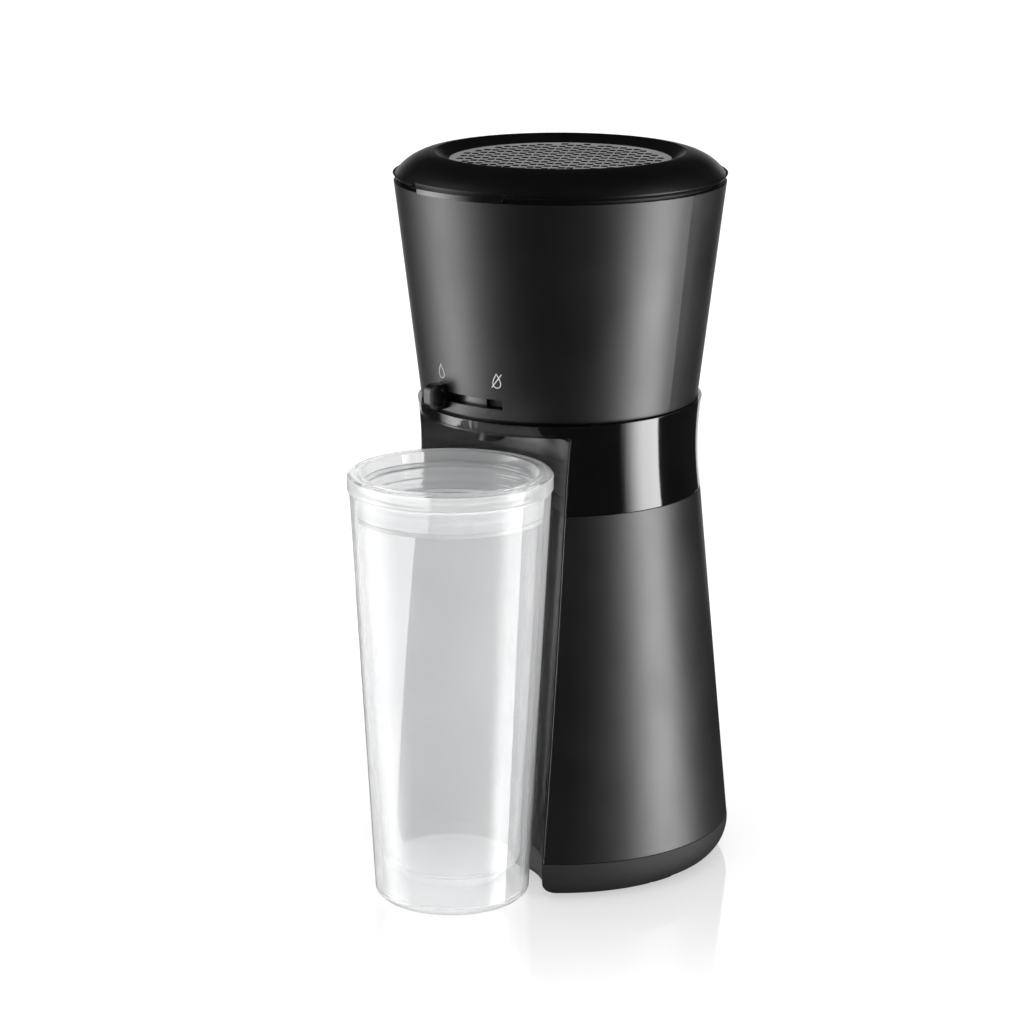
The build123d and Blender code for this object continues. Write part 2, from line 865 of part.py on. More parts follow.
def make_apron():
    """Curved strip that hides the slot, with the arm that carries the shutter."""
    inner = apron_outer() - apron_thickness
    first = lever_angle - apron_half_angle
    last = lever_angle + apron_half_angle
    apron = ring_sector(inner, apron_outer(), apron_z, apron_z + apron_height, first, last)
    half = shutter_arm_width / 2
    arm = block((drain_distance, -half, apron_z), (inner + apron_thickness / 2, half, shutter_high_z))
    arm += drum(shutter_radius, apron_z, shutter_high_z, drain_distance, 0)
    return apron + Rot(0, 0, -shutter_swing - 90) * arm


def make_drip_slider():
    half = lever_stem_width / 2
    stem = block(
        (apron_outer() - apron_thickness / 2, -half, slot_z + slide_gap),
        (cone_radius(slot_z + slot_height) + slide_gap + panel_wall, half, slot_z + slot_height - slide_gap),
    )
    return Rot(0, 0, lever_angle - 90) * (make_fin() + stem) + make_apron()


# Water system


def tank_space(low, high, inset):
    """Room between the body shell and the niche panel, less a wall."""
    room = tapered(body_radius, low, high, -wall - inner_gap - inset)
    room -= scoop(low, high, panel_wall + inner_gap + inset)
    room -= drum(riser_groove + inset, low, high, 0, riser_y)
    return room - riser_slot(inset)


def make_water_tank():
    tank = tank_space(tank_low_z, tank_high_z, 0)
    floor = tank_low_z + tank_wall
    tank -= tank_space(floor, tank_high_z, tank_wall)
    return tank - drum(tank_outlet_bore, tank_low_z, floor, *tank_outlet_place)


def make_tank_seal():
    low = tank_high_z + pin_gap
    high = tank_high_z + tank_seal_thickness - pin_gap
    return tank_space(low, high, 0) - tank_space(low, high, tank_wall)


def make_fill_chute():
    low = tank_high_z + tank_seal_thickness
    high = top_deck_z - seat_gap
    keep = drum(beyond, low, high)
    chute = tank_space(low, low + chute_flange, 0) + (chute_section(0) & keep)
    return chute - (chute_section(-tank_wall) & keep)


def heater_path(bend, z):
    """U-shaped line about the middle of the heater."""
    back = heater_y + heater_leg / 2
    front = heater_y - heater_leg / 2
    right = Line((bend, back, z), (bend, front, z))
    curve = ThreePointArc((bend, front, z), (0, front - bend, z), (-bend, front, z))
    left = Line((-bend, front, z), (-bend, back, z))
    return Wire([right, curve, left])


def make_heater_plate():
    outline = RectangleRounded(heater_plate_width, heater_plate_depth, heater_plate_corner)
    plate = Pos(0, heater_plate_y, heater_plate_z) * extrude(outline, heater_plate_thickness)
    for x, y in heater_posts():
        plate -= drum(screw_radius + seat_gap, heater_plate_z, heater_face_z, x, y)
    return plate


def make_heater_screws():
    low = heater_plate_z - heater_screw_length + seat_gap
    screws = []
    for x, y in heater_posts():
        head = drum(screw_head_radius, heater_face_z, heater_face_z + screw_head_height, x, y)
        screws.append(head + drum(screw_radius - pin_gap, low, heater_face_z, x, y))
    return group(screws)


def make_heater_tube():
    return tube_along(heater_path(heater_bend_radius, heater_tube_z), heater_tube_radius, heater_tube_bore)


def make_heater_element():
    return tube_along(heater_path(heater_bend_radius + element_offset, element_z), element_radius)


def terminal_x():
    """Distance of each terminal of the thermostat from the middle."""
    return thermostat_radius * thermostat_step / 2


def make_thermostat():
    case = drum(thermostat_radius, heater_face_z, heater_face_z + thermostat_height / 2, 0, thermostat_y)
    high = heater_face_z + thermostat_height
    case += drum(thermostat_radius * thermostat_step, heater_face_z, high, 0, thermostat_y)
    across = terminal_width / 2
    thin = terminal_thickness / 2
    for x in (-terminal_x(), terminal_x()):
        case += block(
            (x - across, thermostat_y - thin, heater_face_z),
            (x + across, thermostat_y + thin, high + terminal_height),
        )
    return case


def make_thermal_fuse():
    return Pos(0, fuse_y, heater_face_z + fuse_radius) * Rot(0, 90, 0) * Cylinder(fuse_radius, fuse_length)


def make_inlet_hose():
    x, y = tank_outlet_place
    path = FilletPolyline(
        (heater_bend_radius, hose_start_y, heater_tube_z),
        (heater_bend_radius, hose_start_y + hose_straight, heater_tube_z),
        (x, y, heater_tube_z),
        (x, y, valve_low_z - pin_gap),
        radius=hose_bend_radius,
    )
    return tube_along(path, hose_radius, hose_bore)


def make_riser_hose():
    path = FilletPolyline(
        (-heater_bend_radius, hose_start_y, heater_tube_z),
        (-heater_bend_radius, hose_start_y + riser_turn, heater_tube_z),
        (0, riser_y, heater_tube_z + riser_turn + hose_bend_radius),
        (0, riser_y, top_deck_high_z),
        radius=hose_bend_radius,
    )
    return tube_along(path, hose_radius, hose_bore)


def make_hose_clips():
    inner = hose_radius + pin_gap
    band = Cylinder(inner + clip_thickness, clip_height) - Cylinder(inner, clip_height)
    x, y = tank_outlet_place
    clips = [Pos(x, y, valve_low_z - pin_gap - clip_height / 2) * band]
    for side in (-1, 1):
        place = Pos(side * heater_bend_radius, hose_start_y + clip_height / 2, heater_tube_z)
        clips.append(place * Rot(90, 0, 0) * band)
    return group(clips)


def make_check_valve():
    x, y = tank_outlet_place
    high = tank_low_z - pin_gap
    return drum(check_valve_radius, valve_low_z, high, x, y) - drum(hose_bore, valve_low_z, high, x, y)


def make_water_outlet():
    low = top_deck_high_z + pin_gap
    outlet = drum(hose_radius, low, low + outlet_height, 0, riser_y)
    outlet += drum(outlet_flange_radius, low, low + outlet_flange_height, 0, riser_y)
    return outlet - drum(hose_bore, low, low + outlet_height, 0, riser_y)


# Power button, switch and light


def side_axis(z):
    """Place on the side of the body whose Z points inwards."""
    return Pos(-body_radius(z), 0, z) * Rot(0, 90, 0)


def side_bar(radius, z):
    """Round bar through the side wall of the body."""
    return side_axis(z) * Cylinder(radius, body_top_radius)


def make_button_bezel():
    outer = button_radius + slide_gap + bezel_wall
    front = side_axis(button_z) * Pos(0, 0, -bezel_proud)
    bezel = front * Cylinder(outer, bezel_depth + bezel_proud, align=UP)
    flange = front * Cylinder(outer + bezel_flange, bezel_depth, align=UP)
    bezel += flange - tapered(body_radius, base_seam_z, collar_seam_z, pin_gap)
    return bezel - side_bar(button_radius + slide_gap, button_z)


def make_power_button():
    cap = side_axis(button_z) * Pos(0, 0, -button_proud) * Cylinder(button_radius, button_length, align=UP)
    return fillet(cap.edges().filter_by(GeomType.CIRCLE).sort_by(Axis.X)[0], button_edge)


def make_switch_plunger():
    start = button_length - button_proud + pin_gap
    rod = Cylinder(plunger_radius, switch_face + plunger_entry - start, align=UP)
    return side_axis(button_z) * Pos(0, 0, start) * rod


def make_switch_body():
    width = 2 * switch_half_width
    case = Pos(0, 0, switch_face) * Box(switch_height, width, switch_depth, align=UP)
    plug = Box(switch_height / 2, width / 2, switch_plug_depth, align=UP)
    plug = Pos(0, 0, switch_face + switch_depth) * plug
    leg_length = switch_face - bezel_depth - pin_gap
    legs = [
        Pos(0, side * (switch_half_width - bezel_wall / 2), bezel_depth + pin_gap)
        * Box(switch_leg_height, bezel_wall, leg_length, align=UP)
        for side in (-1, 1)
    ]
    bore_depth = plunger_entry + button_travel + slide_gap
    bore = Pos(0, 0, switch_face) * Cylinder(plunger_radius + pin_gap, bore_depth, align=UP)
    return side_axis(button_z) * (case + plug + legs - bore)


def make_indicator_light():
    return side_axis(light_z) * Pos(0, 0, -light_proud) * Cylinder(light_radius, light_length, align=UP)


# Cord gland and wires


def make_cord_gland():
    gland = gland_bar(gland_radius, gland_end_y, gland_face_y + pin_gap)
    gland += gland_bar(gland_flange_radius, gland_face_y + pin_gap, gland_face_y + gland_flange_thickness)
    return gland - gland_bar(gland_bore, 0, beyond)


def wire(*points):
    return tube_along(FilletPolyline(*points, radius=wire_bend_radius), wire_radius)


def make_wiring():
    hole_x, hole_y = wire_hole_place
    half = wire_pitch / 2
    start_y = gland_end_y - wire_start_gap
    right_x, left_x = hole_x + half, hole_x - half
    rise_z = base_seam_z + wire_rise
    bridge_z = heater_face_z + wire_bridge_rise
    fuse_z = heater_face_z + fuse_radius
    fuse_x = fuse_length / 2 + pin_gap
    terminal_z = heater_face_z + thermostat_height + terminal_height + pin_gap
    to_fuse = wire(
        (half, start_y, gland_z),
        (right_x, hole_y, gland_z),
        (right_x, hole_y, rise_z),
        (right_x, fuse_y, fuse_z),
        (fuse_x, fuse_y, fuse_z),
    )
    to_thermostat = wire(
        (-half, start_y, gland_z),
        (left_x, hole_y, gland_z),
        (left_x, hole_y, bridge_z),
        (terminal_x(), thermostat_y, bridge_z),
        (terminal_x(), thermostat_y, terminal_z),
    )
    switch_x = -body_radius(button_z) + switch_face + switch_depth + switch_plug_depth + pin_gap
    side_x = -fuse_x - wire_side_run
    to_switch = wire(
        (-fuse_x, fuse_y, fuse_z),
        (side_x, fuse_y, fuse_z),
        (side_x, fuse_y, bridge_z),
        (switch_x + wire_side_run, 0, bridge_z),
        (switch_x + wire_side_run, 0, button_z),
        (switch_x, 0, button_z),
    )
    return group([to_fuse, to_thermostat, to_switch])


# Lid


def lid_dome(inset):
    """Sloping crown of the lid, moved inwards by a wall."""
    high = lid_top_z - inset
    edge = lid_radius - inset
    crown = (lid_crown_radius - inset / 2, 0, high)
    along = inset * sin(radians(45))
    slope = (lid_slope_radius - along, 0, lid_top_z - lid_slope_drop - along)
    shoulder = (edge - lid_shoulder_inset, 0, lid_top_z - lid_shoulder_drop)
    side = (edge, 0, lid_bottom_z + lid_edge_height)
    outline = [
        Line((0, 0, lid_bottom_z), (edge - lid_edge_inset, 0, lid_bottom_z)),
        Line((edge - lid_edge_inset, 0, lid_bottom_z), side),
        Line(side, shoulder),
        ThreePointArc(shoulder, slope, crown),
        Line(crown, (0, 0, high)),
        Line((0, 0, high), (0, 0, lid_bottom_z)),
    ]
    return revolve(make_face(outline), Axis.Z)


def spigot_radius():
    """Outer radius of the ring under the lid that enters the housing."""
    return cone_radius(lid_bottom_z - spigot_height) - wall - spigot_gap


def make_knuckle():
    """Barrel at the back of the lid that turns on the hinge pin."""
    arm_low = (-knuckle_half_width, lid_radius - wall, hinge_z)
    arm_high = (knuckle_half_width, hinge_y, lid_bottom_z + wall)
    body = hinge_bar(knuckle_radius, knuckle_half_width) + block(arm_low, arm_high)
    body -= tapered(cone_radius, cone_bottom_z, lid_bottom_z, slide_gap)
    return body - hinge_bar(pin_radius + pin_gap, knuckle_half_width)


def make_lid_shell():
    rim_radius = recess_radius + seat_gap
    seat_z = recess_z - grille_thickness - seat_gap
    shell = lid_dome(0) + make_knuckle()
    shell -= lid_dome(lid_wall) - drum(rim_radius + lid_wall, lid_bottom_z, lid_top_z)
    shell -= frustum(recess_radius, lip_radius, recess_z, lid_top_z)
    shell -= drum(rim_radius, seat_z, recess_z)
    shell -= drum(recess_radius - grille_rim, lid_bottom_z, lid_top_z)
    notch_high = tab_z + tab_thickness + tab_notch_height
    return shell - ring_sector(tab_root_radius, beyond, lid_seam_z, notch_high, -tab_notch_angle, tab_notch_angle)


def make_lid_grille():
    """Plate with pairs of short slots in slanting rows."""
    reach = recess_radius - grille_rim - grille_slot_length / 2
    count = int(2 * reach // grille_pitch)
    steps = range(-count, count + 1)
    slots = Sketch()
    for i, j, side in [(i, j, side) for i in steps for j in steps for side in (-1, 1)]:
        x = (i - j / 2) * grille_pitch + side * grille_pair / 2 * cos(radians(30))
        y = j * grille_pitch * sin(radians(60)) + side * grille_pair / 2 * sin(radians(30))
        if sqrt(x * x + y * y) < reach:
            slots += Pos(x, y) * Rot(0, 0, 30) * Rectangle(grille_slot_width, grille_slot_length)
    return Pos(0, 0, recess_z - grille_thickness) * extrude(Circle(recess_radius) - slots, grille_thickness)


def make_lid_liner():
    """Plate under the lid with the ring that enters the housing."""
    high = lid_bottom_z - pin_gap
    low = lid_bottom_z - spigot_height
    outer = spigot_radius()
    liner = drum(outer, low, high)
    return liner - drum(outer - spigot_wall, low, high - liner_thickness)


def make_lid_seal():
    """Soft ring around the spigot."""
    low = lid_bottom_z - spigot_height + lid_seal_rise
    inner = spigot_radius() + pin_gap
    outer = spigot_radius() + spigot_gap - slide_gap
    return drum(outer, low, low + lid_seal_height) - drum(inner, low, low + lid_seal_height)


def make_lid_tab():
    """Thumb tab in the notch at the front edge of the lid, with slanting ends."""
    root = [front_point(tab_root_radius + pin_gap, angle) for angle in (-tab_half_angle, 0, tab_half_angle)]
    tip = [front_point(lid_radius + tab_proud, angle) for angle in (tab_front_angle, 0, -tab_front_angle)]
    outline = [ThreePointArc(*root), Line(root[2], tip[0]), ThreePointArc(*tip), Line(tip[2], root[0])]
    return Pos(0, 0, tab_z) * extrude(make_face(outline), tab_thickness)


def channel_room(half, low, high):
    """Long space with round ends from the riser to the middle of the basket."""
    room = block((-half, well_y, low), (half, riser_y, high))
    return room + drum(half, low, high, 0, well_y) + drum(half, low, high, 0, riser_y)


def make_lid_channel():
    """Covered trough that leads water from the outlet to the shower."""
    high = lid_bottom_z - liner_thickness - 2 * pin_gap
    low = high - channel_height
    floor = low + channel_wall
    half = channel_width / 2
    trough = channel_room(half, low, high) - channel_room(half - channel_wall, floor, high)
    trough -= drum(hose_radius + slide_gap, low, floor, 0, riser_y)
    return trough - drum(hose_bore, low, floor, 0, well_y)


def make_shower_head():
    high = lid_bottom_z - liner_thickness - channel_height - 3 * pin_gap
    low = high - shower_height
    floor = low + channel_wall
    dish = drum(shower_radius, low, high, 0, well_y)
    dish -= drum(shower_radius - channel_wall, floor, high, 0, well_y)
    for i in range(shower_holes):
        angle = radians(360 * i / shower_holes)
        ring = shower_radius * (shower_outer_share if i % 2 else shower_inner_share)
        dish -= drum(shower_hole_radius, low, floor, ring * cos(angle), well_y + ring * sin(angle))
    return dish


# Tumbler


def tumbler_turned(points):
    """Turned piece that stands in front of the machine."""
    return Pos(tumbler_x, tumbler_y, 0) * half_section(points)


def shell_radius(z):
    """Outer radius of the outer wall of the tumbler at a height."""
    high = tumbler_height - tumbler_rim_height
    widest = tumbler_rim_radius - tumbler_shoulder_step
    return tumbler_bottom_radius + (widest - tumbler_bottom_radius) * z / high


def liner_radius(z):
    """Outer radius of the inner cup at a height."""
    return shell_radius(z) - tumbler_wall - tumbler_gap


def make_tumbler_shell():
    high = tumbler_height - tumbler_rim_height - seat_gap
    corner = tumbler_bottom_corner
    foot = tumbler_bottom_radius - tumbler_foot_width
    floor = tumbler_foot_height + tumbler_wall
    inner_corner = floor + corner
    return tumbler_turned([
        (0, tumbler_foot_height),
        (foot, tumbler_foot_height),
        (foot + tumbler_foot_height, 0),
        (tumbler_bottom_radius - corner, 0),
        (shell_radius(corner), corner),
        (shell_radius(high), high),
        (shell_radius(high) - tumbler_wall, high),
        (shell_radius(inner_corner) - tumbler_wall, inner_corner),
        (shell_radius(floor) - tumbler_wall - corner, floor),
        (0, floor),
    ])


def make_tumbler_liner():
    high = tumbler_height
    rim_low = high - tumbler_rim_height
    skirt = high - skirt_drop
    low = liner_raise
    corner_z = low + liner_corner
    boss_low = low - liner_boss_height
    boss_outer = liner_boss_radius + liner_wall
    outer = [
        (0, low),
        (liner_boss_radius, low),
        (liner_boss_radius, boss_low),
        (boss_outer, boss_low),
        (boss_outer, low),
        (liner_radius(low) - liner_corner, low),
        (liner_radius(corner_z), corner_z),
        (liner_radius(skirt), skirt),
        (shell_radius(skirt) - tumbler_wall - seat_gap, skirt),
        (shell_radius(rim_low) - tumbler_wall - seat_gap, rim_low),
        (tumbler_rim_radius, rim_low),
        (tumbler_rim_radius, high - tumbler_rim_edge),
        (tumbler_rim_radius - tumbler_rim_edge, high),
    ]
    inner = [(liner_radius(high) - liner_wall, high)]
    for i in range(thread_count):
        z = high - thread_start - i * thread_pitch
        r = liner_radius(z) - liner_wall
        inner += [(r, z), (r - thread_depth, z - thread_height / 2), (r, z - thread_height)]
    inner += [
        (liner_radius(corner_z) - liner_wall, corner_z + liner_wall / 2),
        (liner_radius(low) - liner_corner - liner_wall / 2, low + liner_wall),
        (0, low + liner_wall),
    ]
    return tumbler_turned(outer + inner)


def make_tumbler_seal():
    """Ring under the rim that closes the gap between the two walls."""
    high = tumbler_height - skirt_drop - pin_gap
    low = high - tumbler_seal_height
    outer = shell_radius(low) - tumbler_wall - pin_gap
    inner = liner_radius(high) + pin_gap
    return tumbler_turned([(inner, low), (outer, low), (outer, high), (inner, high)])


PIECES = [
    make_base_housing, make_bottom_cover, make_rubber_feet, make_cover_screws, make_body_screws,
    make_body_shell, make_niche_panel, make_niche_hood, make_collar_band, make_upper_housing,
    make_hinge_pin, make_top_deck, make_brew_basket, make_filter_frame, make_filter_mesh,
    make_lower_deck, make_spout, make_drip_slider, make_water_tank, make_tank_seal,
    make_fill_chute, make_heater_plate, make_heater_screws, make_heater_tube, make_heater_element,
    make_thermostat, make_thermal_fuse, make_inlet_hose, make_riser_hose, make_hose_clips,
    make_check_valve, make_water_outlet, make_button_bezel, make_power_button, make_switch_plunger,
    make_switch_body, make_indicator_light, make_cord_gland, make_wiring, make_lid_shell,
    make_lid_grille, make_lid_liner, make_lid_seal, make_lid_tab, make_lid_channel,
    make_shower_head, make_tumbler_shell, make_tumbler_liner, make_tumbler_seal,
]

for make in PIECES:
    save(make(), make.__name__.removeprefix("make_"))
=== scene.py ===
import bmesh
import bpy
from math import cos, pi, radians, sin, tan
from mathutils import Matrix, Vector


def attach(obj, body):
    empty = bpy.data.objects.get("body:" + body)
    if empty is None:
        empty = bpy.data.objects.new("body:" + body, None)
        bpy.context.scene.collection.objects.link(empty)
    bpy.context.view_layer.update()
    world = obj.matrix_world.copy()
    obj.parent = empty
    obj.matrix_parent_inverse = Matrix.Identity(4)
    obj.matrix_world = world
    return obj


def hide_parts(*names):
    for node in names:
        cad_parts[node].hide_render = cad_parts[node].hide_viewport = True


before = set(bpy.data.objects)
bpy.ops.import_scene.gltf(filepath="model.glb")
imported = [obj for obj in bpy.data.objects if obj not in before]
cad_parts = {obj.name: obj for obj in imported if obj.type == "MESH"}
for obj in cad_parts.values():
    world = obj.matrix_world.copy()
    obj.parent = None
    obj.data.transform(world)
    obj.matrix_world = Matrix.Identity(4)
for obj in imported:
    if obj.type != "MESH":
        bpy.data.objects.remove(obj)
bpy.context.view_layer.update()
scene = bpy.context.scene
scene.view_settings.view_transform = "Standard"
MM = 0.001


def link(thing):
    scene.collection.objects.link(thing)
    return thing


# Camera at the photograph's place
CAMERA_PLACE = Vector((0.8344, -0.9994, 0.4885))
CAMERA_AIM = Vector((-0.62411, 0.739634, -0.25183))
camera_data = bpy.data.cameras.new("camera")
camera_data.lens = 114.19
camera_data.sensor_width = 36.0
camera = link(bpy.data.objects.new("camera", camera_data))
camera.location = CAMERA_PLACE
camera.rotation_mode = "QUATERNION"
camera.rotation_quaternion = CAMERA_AIM.to_track_quat("-Z", "Y")
scene.camera = camera

# Upright axis of the machine's round parts, and directions from it to the camera and to the picture's right
MACHINE_Y = 20.0
AXIS = Vector((0.0, MACHINE_Y * MM, 0.0))
TO_CAMERA = Vector((0.6334, -0.7738, 0.0))
TO_RIGHT = Vector((0.7738, 0.6334, 0.0))


def around(angle, distance, height):
    """Place at an angle from the camera's side of the machine, towards the right of the picture."""
    a = radians(angle)
    return AXIS + distance * (cos(a) * TO_CAMERA + sin(a) * TO_RIGHT) + Vector((0, 0, height))


# Materials


class Shader:
    """A new material with its nodes and a short way to add and join more."""

    def __init__(self, name):
        self.material = bpy.data.materials.new(name)
        self.material.use_nodes = True
        self.nodes = self.material.node_tree.nodes
        self.links = self.material.node_tree.links
        self.bsdf = self.nodes["Principled BSDF"]
        self.output = self.nodes["Material Output"]
        self.coordinates = self.add("ShaderNodeTexCoord")
        self.place = self.coordinates.outputs["Object"]

    def add(self, kind, **values):
        node = self.nodes.new(kind)
        for key, value in values.items():
            setattr(node, key, value)
        return node

    def join(self, start, end):
        self.links.new(start, end)

    def set(self, **values):
        for key, value in values.items():
            self.bsdf.inputs[key.replace("_", " ")].default_value = value

    def math(self, operation, *values):
        """Result of a math node that takes numbers and the outputs of other nodes."""
        node = self.add("ShaderNodeMath", operation=operation)
        for i, value in enumerate(values):
            if isinstance(value, float):
                node.inputs[i].default_value = value
            else:
                self.join(value, node.inputs[i])
        return node.outputs[0]

    def noise(self, scale, detail=3.0):
        node = self.add("ShaderNodeTexNoise")
        node.inputs["Scale"].default_value = scale
        node.inputs["Detail"].default_value = detail
        self.join(self.place, node.inputs["Vector"])
        return node.outputs["Fac"]

    def ramp(self, factor, low, high, start=0.35, end=0.65):
        """Colour that goes with a factor from low to high, which are colours or grey levels."""
        node = self.add("ShaderNodeValToRGB")
        for stop, position, tone in zip(node.color_ramp.elements, (start, end), (low, high)):
            stop.position = position
            stop.color = (tone, tone, tone, 1) if isinstance(tone, float) else (*tone, 1)
        self.join(factor, node.inputs["Fac"])
        return node.outputs["Color"]

    def spread(self, factor, low, high):
        """Value from low to high, over the range that a noise mostly has."""
        node = self.add("ShaderNodeMapRange")
        node.inputs["From Min"].default_value = 0.3
        node.inputs["From Max"].default_value = 0.7
        node.inputs["To Min"].default_value = low
        node.inputs["To Max"].default_value = high
        self.join(factor, node.inputs["Value"])
        return node.outputs["Result"]

    def bump(self, height, depth, edge=0.0):
        """Relief of a depth in metres, with the solid's edges softened by a radius."""
        node = self.add("ShaderNodeBump")
        if edge:
            soft = self.add("ShaderNodeBevel", samples=4)
            soft.inputs["Radius"].default_value = edge
            self.join(soft.outputs["Normal"], node.inputs["Normal"])
        node.inputs["Distance"].default_value = depth
        node.inputs["Strength"].default_value = 1.0
        self.join(height, node.inputs["Height"])
        self.join(node.outputs["Normal"], self.bsdf.inputs["Normal"])


EDGE_RADIUS = 0.0004


def plastic(name, dark, light, rough, rough_range, grain, depth, specular=0.5, tone_scale=45):
    """Moulded plastic: two close tones, uneven gloss and a fine moulded grain."""
    s = Shader(name)
    s.join(s.ramp(s.noise(tone_scale), dark, light), s.bsdf.inputs["Base Color"])
    s.join(s.spread(s.noise(30), rough - rough_range, rough + rough_range), s.bsdf.inputs["Roughness"])
    s.bump(s.noise(grain, 2.0), depth, EDGE_RADIUS)
    s.set(Specular_IOR_Level=specular)
    return s


def metal(name, dark, light, rough):
    """Plain metal with an uneven tone and gloss."""
    s = Shader(name)
    s.set(Metallic=1.0)
    s.join(s.ramp(s.noise(400), dark, light), s.bsdf.inputs["Base Color"])
    s.join(s.spread(s.noise(700, 2.0), rough - 0.06, rough + 0.06), s.bsdf.inputs["Roughness"])
    s.bump(s.noise(900, 2.0), 0.00002)
    return s


SLANT_START = 0.45
SLANT_CLEARNESS = 0.35


def clear_plastic(name, haze, low, high, ior=1.12):
    """Clear acrylic with a milky cast that grows where it is seen at a slant, as in the photograph."""
    s = Shader(name)
    s.join(s.ramp(s.noise(25), (low, low + 0.005, low + 0.01), (high, high + 0.003, high + 0.006)),
           s.bsdf.inputs["Base Color"])
    s.join(s.spread(s.noise(40), 0.03, 0.05), s.bsdf.inputs["Roughness"])
    s.bump(s.noise(60, 2.0), 0.00003)
    s.set(IOR=ior, Specular_IOR_Level=0.5, Coat_Weight=0.3, Coat_Roughness=0.06)
    slant = s.add("ShaderNodeLayerWeight")
    slant.inputs["Blend"].default_value = 0.5
    through = s.add("ShaderNodeMapRange", interpolation_type="SMOOTHSTEP")
    through.inputs["From Min"].default_value = SLANT_START
    through.inputs["From Max"].default_value = 1.0
    through.inputs["To Min"].default_value = 1.0 - haze
    through.inputs["To Max"].default_value = SLANT_CLEARNESS
    s.join(slant.outputs["Facing"], through.inputs["Value"])
    s.join(through.outputs["Result"], s.bsdf.inputs["Transmission Weight"])
    return s


satin_black = plastic("satin_black", 0.0022, 0.0034, 0.42, 0.03, 1800, 0.000006)
lid_black = plastic("lid_black", 0.0014, 0.0020, 0.36, 0.03, 1500, 0.000005, 0.25)
tab_black = plastic("tab_black", 0.0030, 0.0045, 0.16, 0.03, 1500, 0.000005)
gloss_black = plastic("gloss_black", 0.0030, 0.0045, 0.08, 0.02, 120, 0.000004)
niche_gloss = plastic("niche_gloss", 0.008, 0.012, 0.12, 0.02, 1500, 0.000004)
hood_gloss = plastic("hood_gloss", 0.0030, 0.0045, 0.20, 0.02, 1500, 0.000004)
lever_black = plastic("lever_black", 0.0030, 0.0045, 0.24, 0.03, 1500, 0.000004)
base_grey = plastic("base_grey", 0.014, 0.019, 0.68, 0.04, 1300, 0.00002, 0.25)
grille_painted_shade = plastic("grille_painted_shade", 0.24, 0.28, 0.45, 0.05, 1200, 0.00002)
inner_black = plastic("inner_black", 0.010, 0.014, 0.45, 0.05, 1200, 0.00002)
basket_grey = plastic("basket_grey", 0.03, 0.04, 0.4, 0.05, 1100, 0.00002)
tank_grey = plastic("tank_grey", 0.25, 0.30, 0.45, 0.05, 900, 0.00002)
rubber = plastic("rubber", 0.012, 0.018, 0.75, 0.05, 1000, 0.00004, 0.3)
silicone = plastic("silicone", 0.62, 0.68, 0.5, 0.05, 500, 0.00003)
wire_white = plastic("wire_white", 0.6, 0.72, 0.6, 0.05, 2200, 0.00008)
fuse_cream = plastic("fuse_cream", 0.45, 0.55, 0.55, 0.05, 900, 0.00003)
print_white = plastic("print_white", 0.72, 0.80, 0.5, 0.05, 1500, 0.000004)
steel = metal("steel", (0.45, 0.45, 0.46), (0.62, 0.62, 0.63), 0.32)
aluminium = metal("aluminium", (0.6, 0.6, 0.61), (0.75, 0.75, 0.76), 0.42)
mesh_steel = metal("mesh_steel", (0.35, 0.35, 0.36), (0.62, 0.62, 0.63), 0.35)
lens_red = plastic("lens_red", (0.35, 0.01, 0.01), (0.5, 0.02, 0.015), 0.2, 0.03, 300, 0.00001, tone_scale=300)
clear = clear_plastic("clear", 0.145, 0.955, 0.985)
milky = clear_plastic("milky", 0.48, 0.965, 0.99)
glassy = clear_plastic("glassy", 0.08, 0.95, 0.98, 1.35)

# The grille is grey plastic, and the sides of its slots and its other faces that don't face up are painted near
# black as painted shade
SLOT_PAINTED_SHADE = (0.006, 0.006, 0.006, 1)
upright = grille_painted_shade.add("ShaderNodeSeparateXYZ")
grille_painted_shade.join(grille_painted_shade.coordinates.outputs["Normal"], upright.inputs[0])
grille_tone = grille_painted_shade.bsdf.inputs["Base Color"].links[0].from_socket
# Painted shade: the grille's tone fades to near black on faces that turn away from straight up
painted_slot_shade = grille_painted_shade.add("ShaderNodeMix", data_type="RGBA")
grille_painted_shade.join(grille_painted_shade.ramp(upright.outputs["Z"], 0.0, 1.0, 0.3, 0.7), painted_slot_shade.inputs["Factor"])
painted_slot_shade.inputs["A"].default_value = SLOT_PAINTED_SHADE
grille_painted_shade.join(grille_tone, painted_slot_shade.inputs["B"])
grille_painted_shade.join(painted_slot_shade.outputs["Result"], grille_painted_shade.bsdf.inputs["Base Color"])

NODE_SHADERS = [
    (satin_black, "body_shell upper_housing"),
    (lever_black, "drip_slider"),
    (lid_black, "lid_shell"),
    (tab_black, "lid_tab"),
    (gloss_black, "collar_band power_button button_bezel"),
    (hood_gloss, "niche_hood"),
    (niche_gloss, "niche_panel"),
    (base_grey, "base_housing bottom_cover"),
    (grille_painted_shade, "lid_grille"),
    (rubber, "rubber_feet"),
    (inner_black, "top_deck lower_deck spout lid_liner lid_channel shower_head switch_body switch_plunger"
                  " water_outlet cord_gland"),
    (basket_grey, "brew_basket filter_frame"),
    (mesh_steel, "filter_mesh"),
    (tank_grey, "water_tank fill_chute"),
    (silicone, "tank_seal lid_seal inlet_hose riser_hose check_valve tumbler_seal"),
    (steel, "cover_screws body_screws heater_screws hinge_pin heater_element hose_clips thermostat"),
    (aluminium, "heater_plate heater_tube"),
    (fuse_cream, "thermal_fuse"),
    (wire_white, "wiring"),
    (lens_red, "indicator_light"),
]
for shader, names in NODE_SHADERS:
    for name in names.split():
        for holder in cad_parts[name].material_slots:
            holder.material = shader.material


# Pieces


def mesh_object(name, vertices, faces, shader):
    mesh = bpy.data.meshes.new(name)
    mesh.from_pydata(vertices, [], faces)
    mesh.validate()
    mesh.update()
    mesh.materials.append(shader.material)
    return link(bpy.data.objects.new(name, mesh))


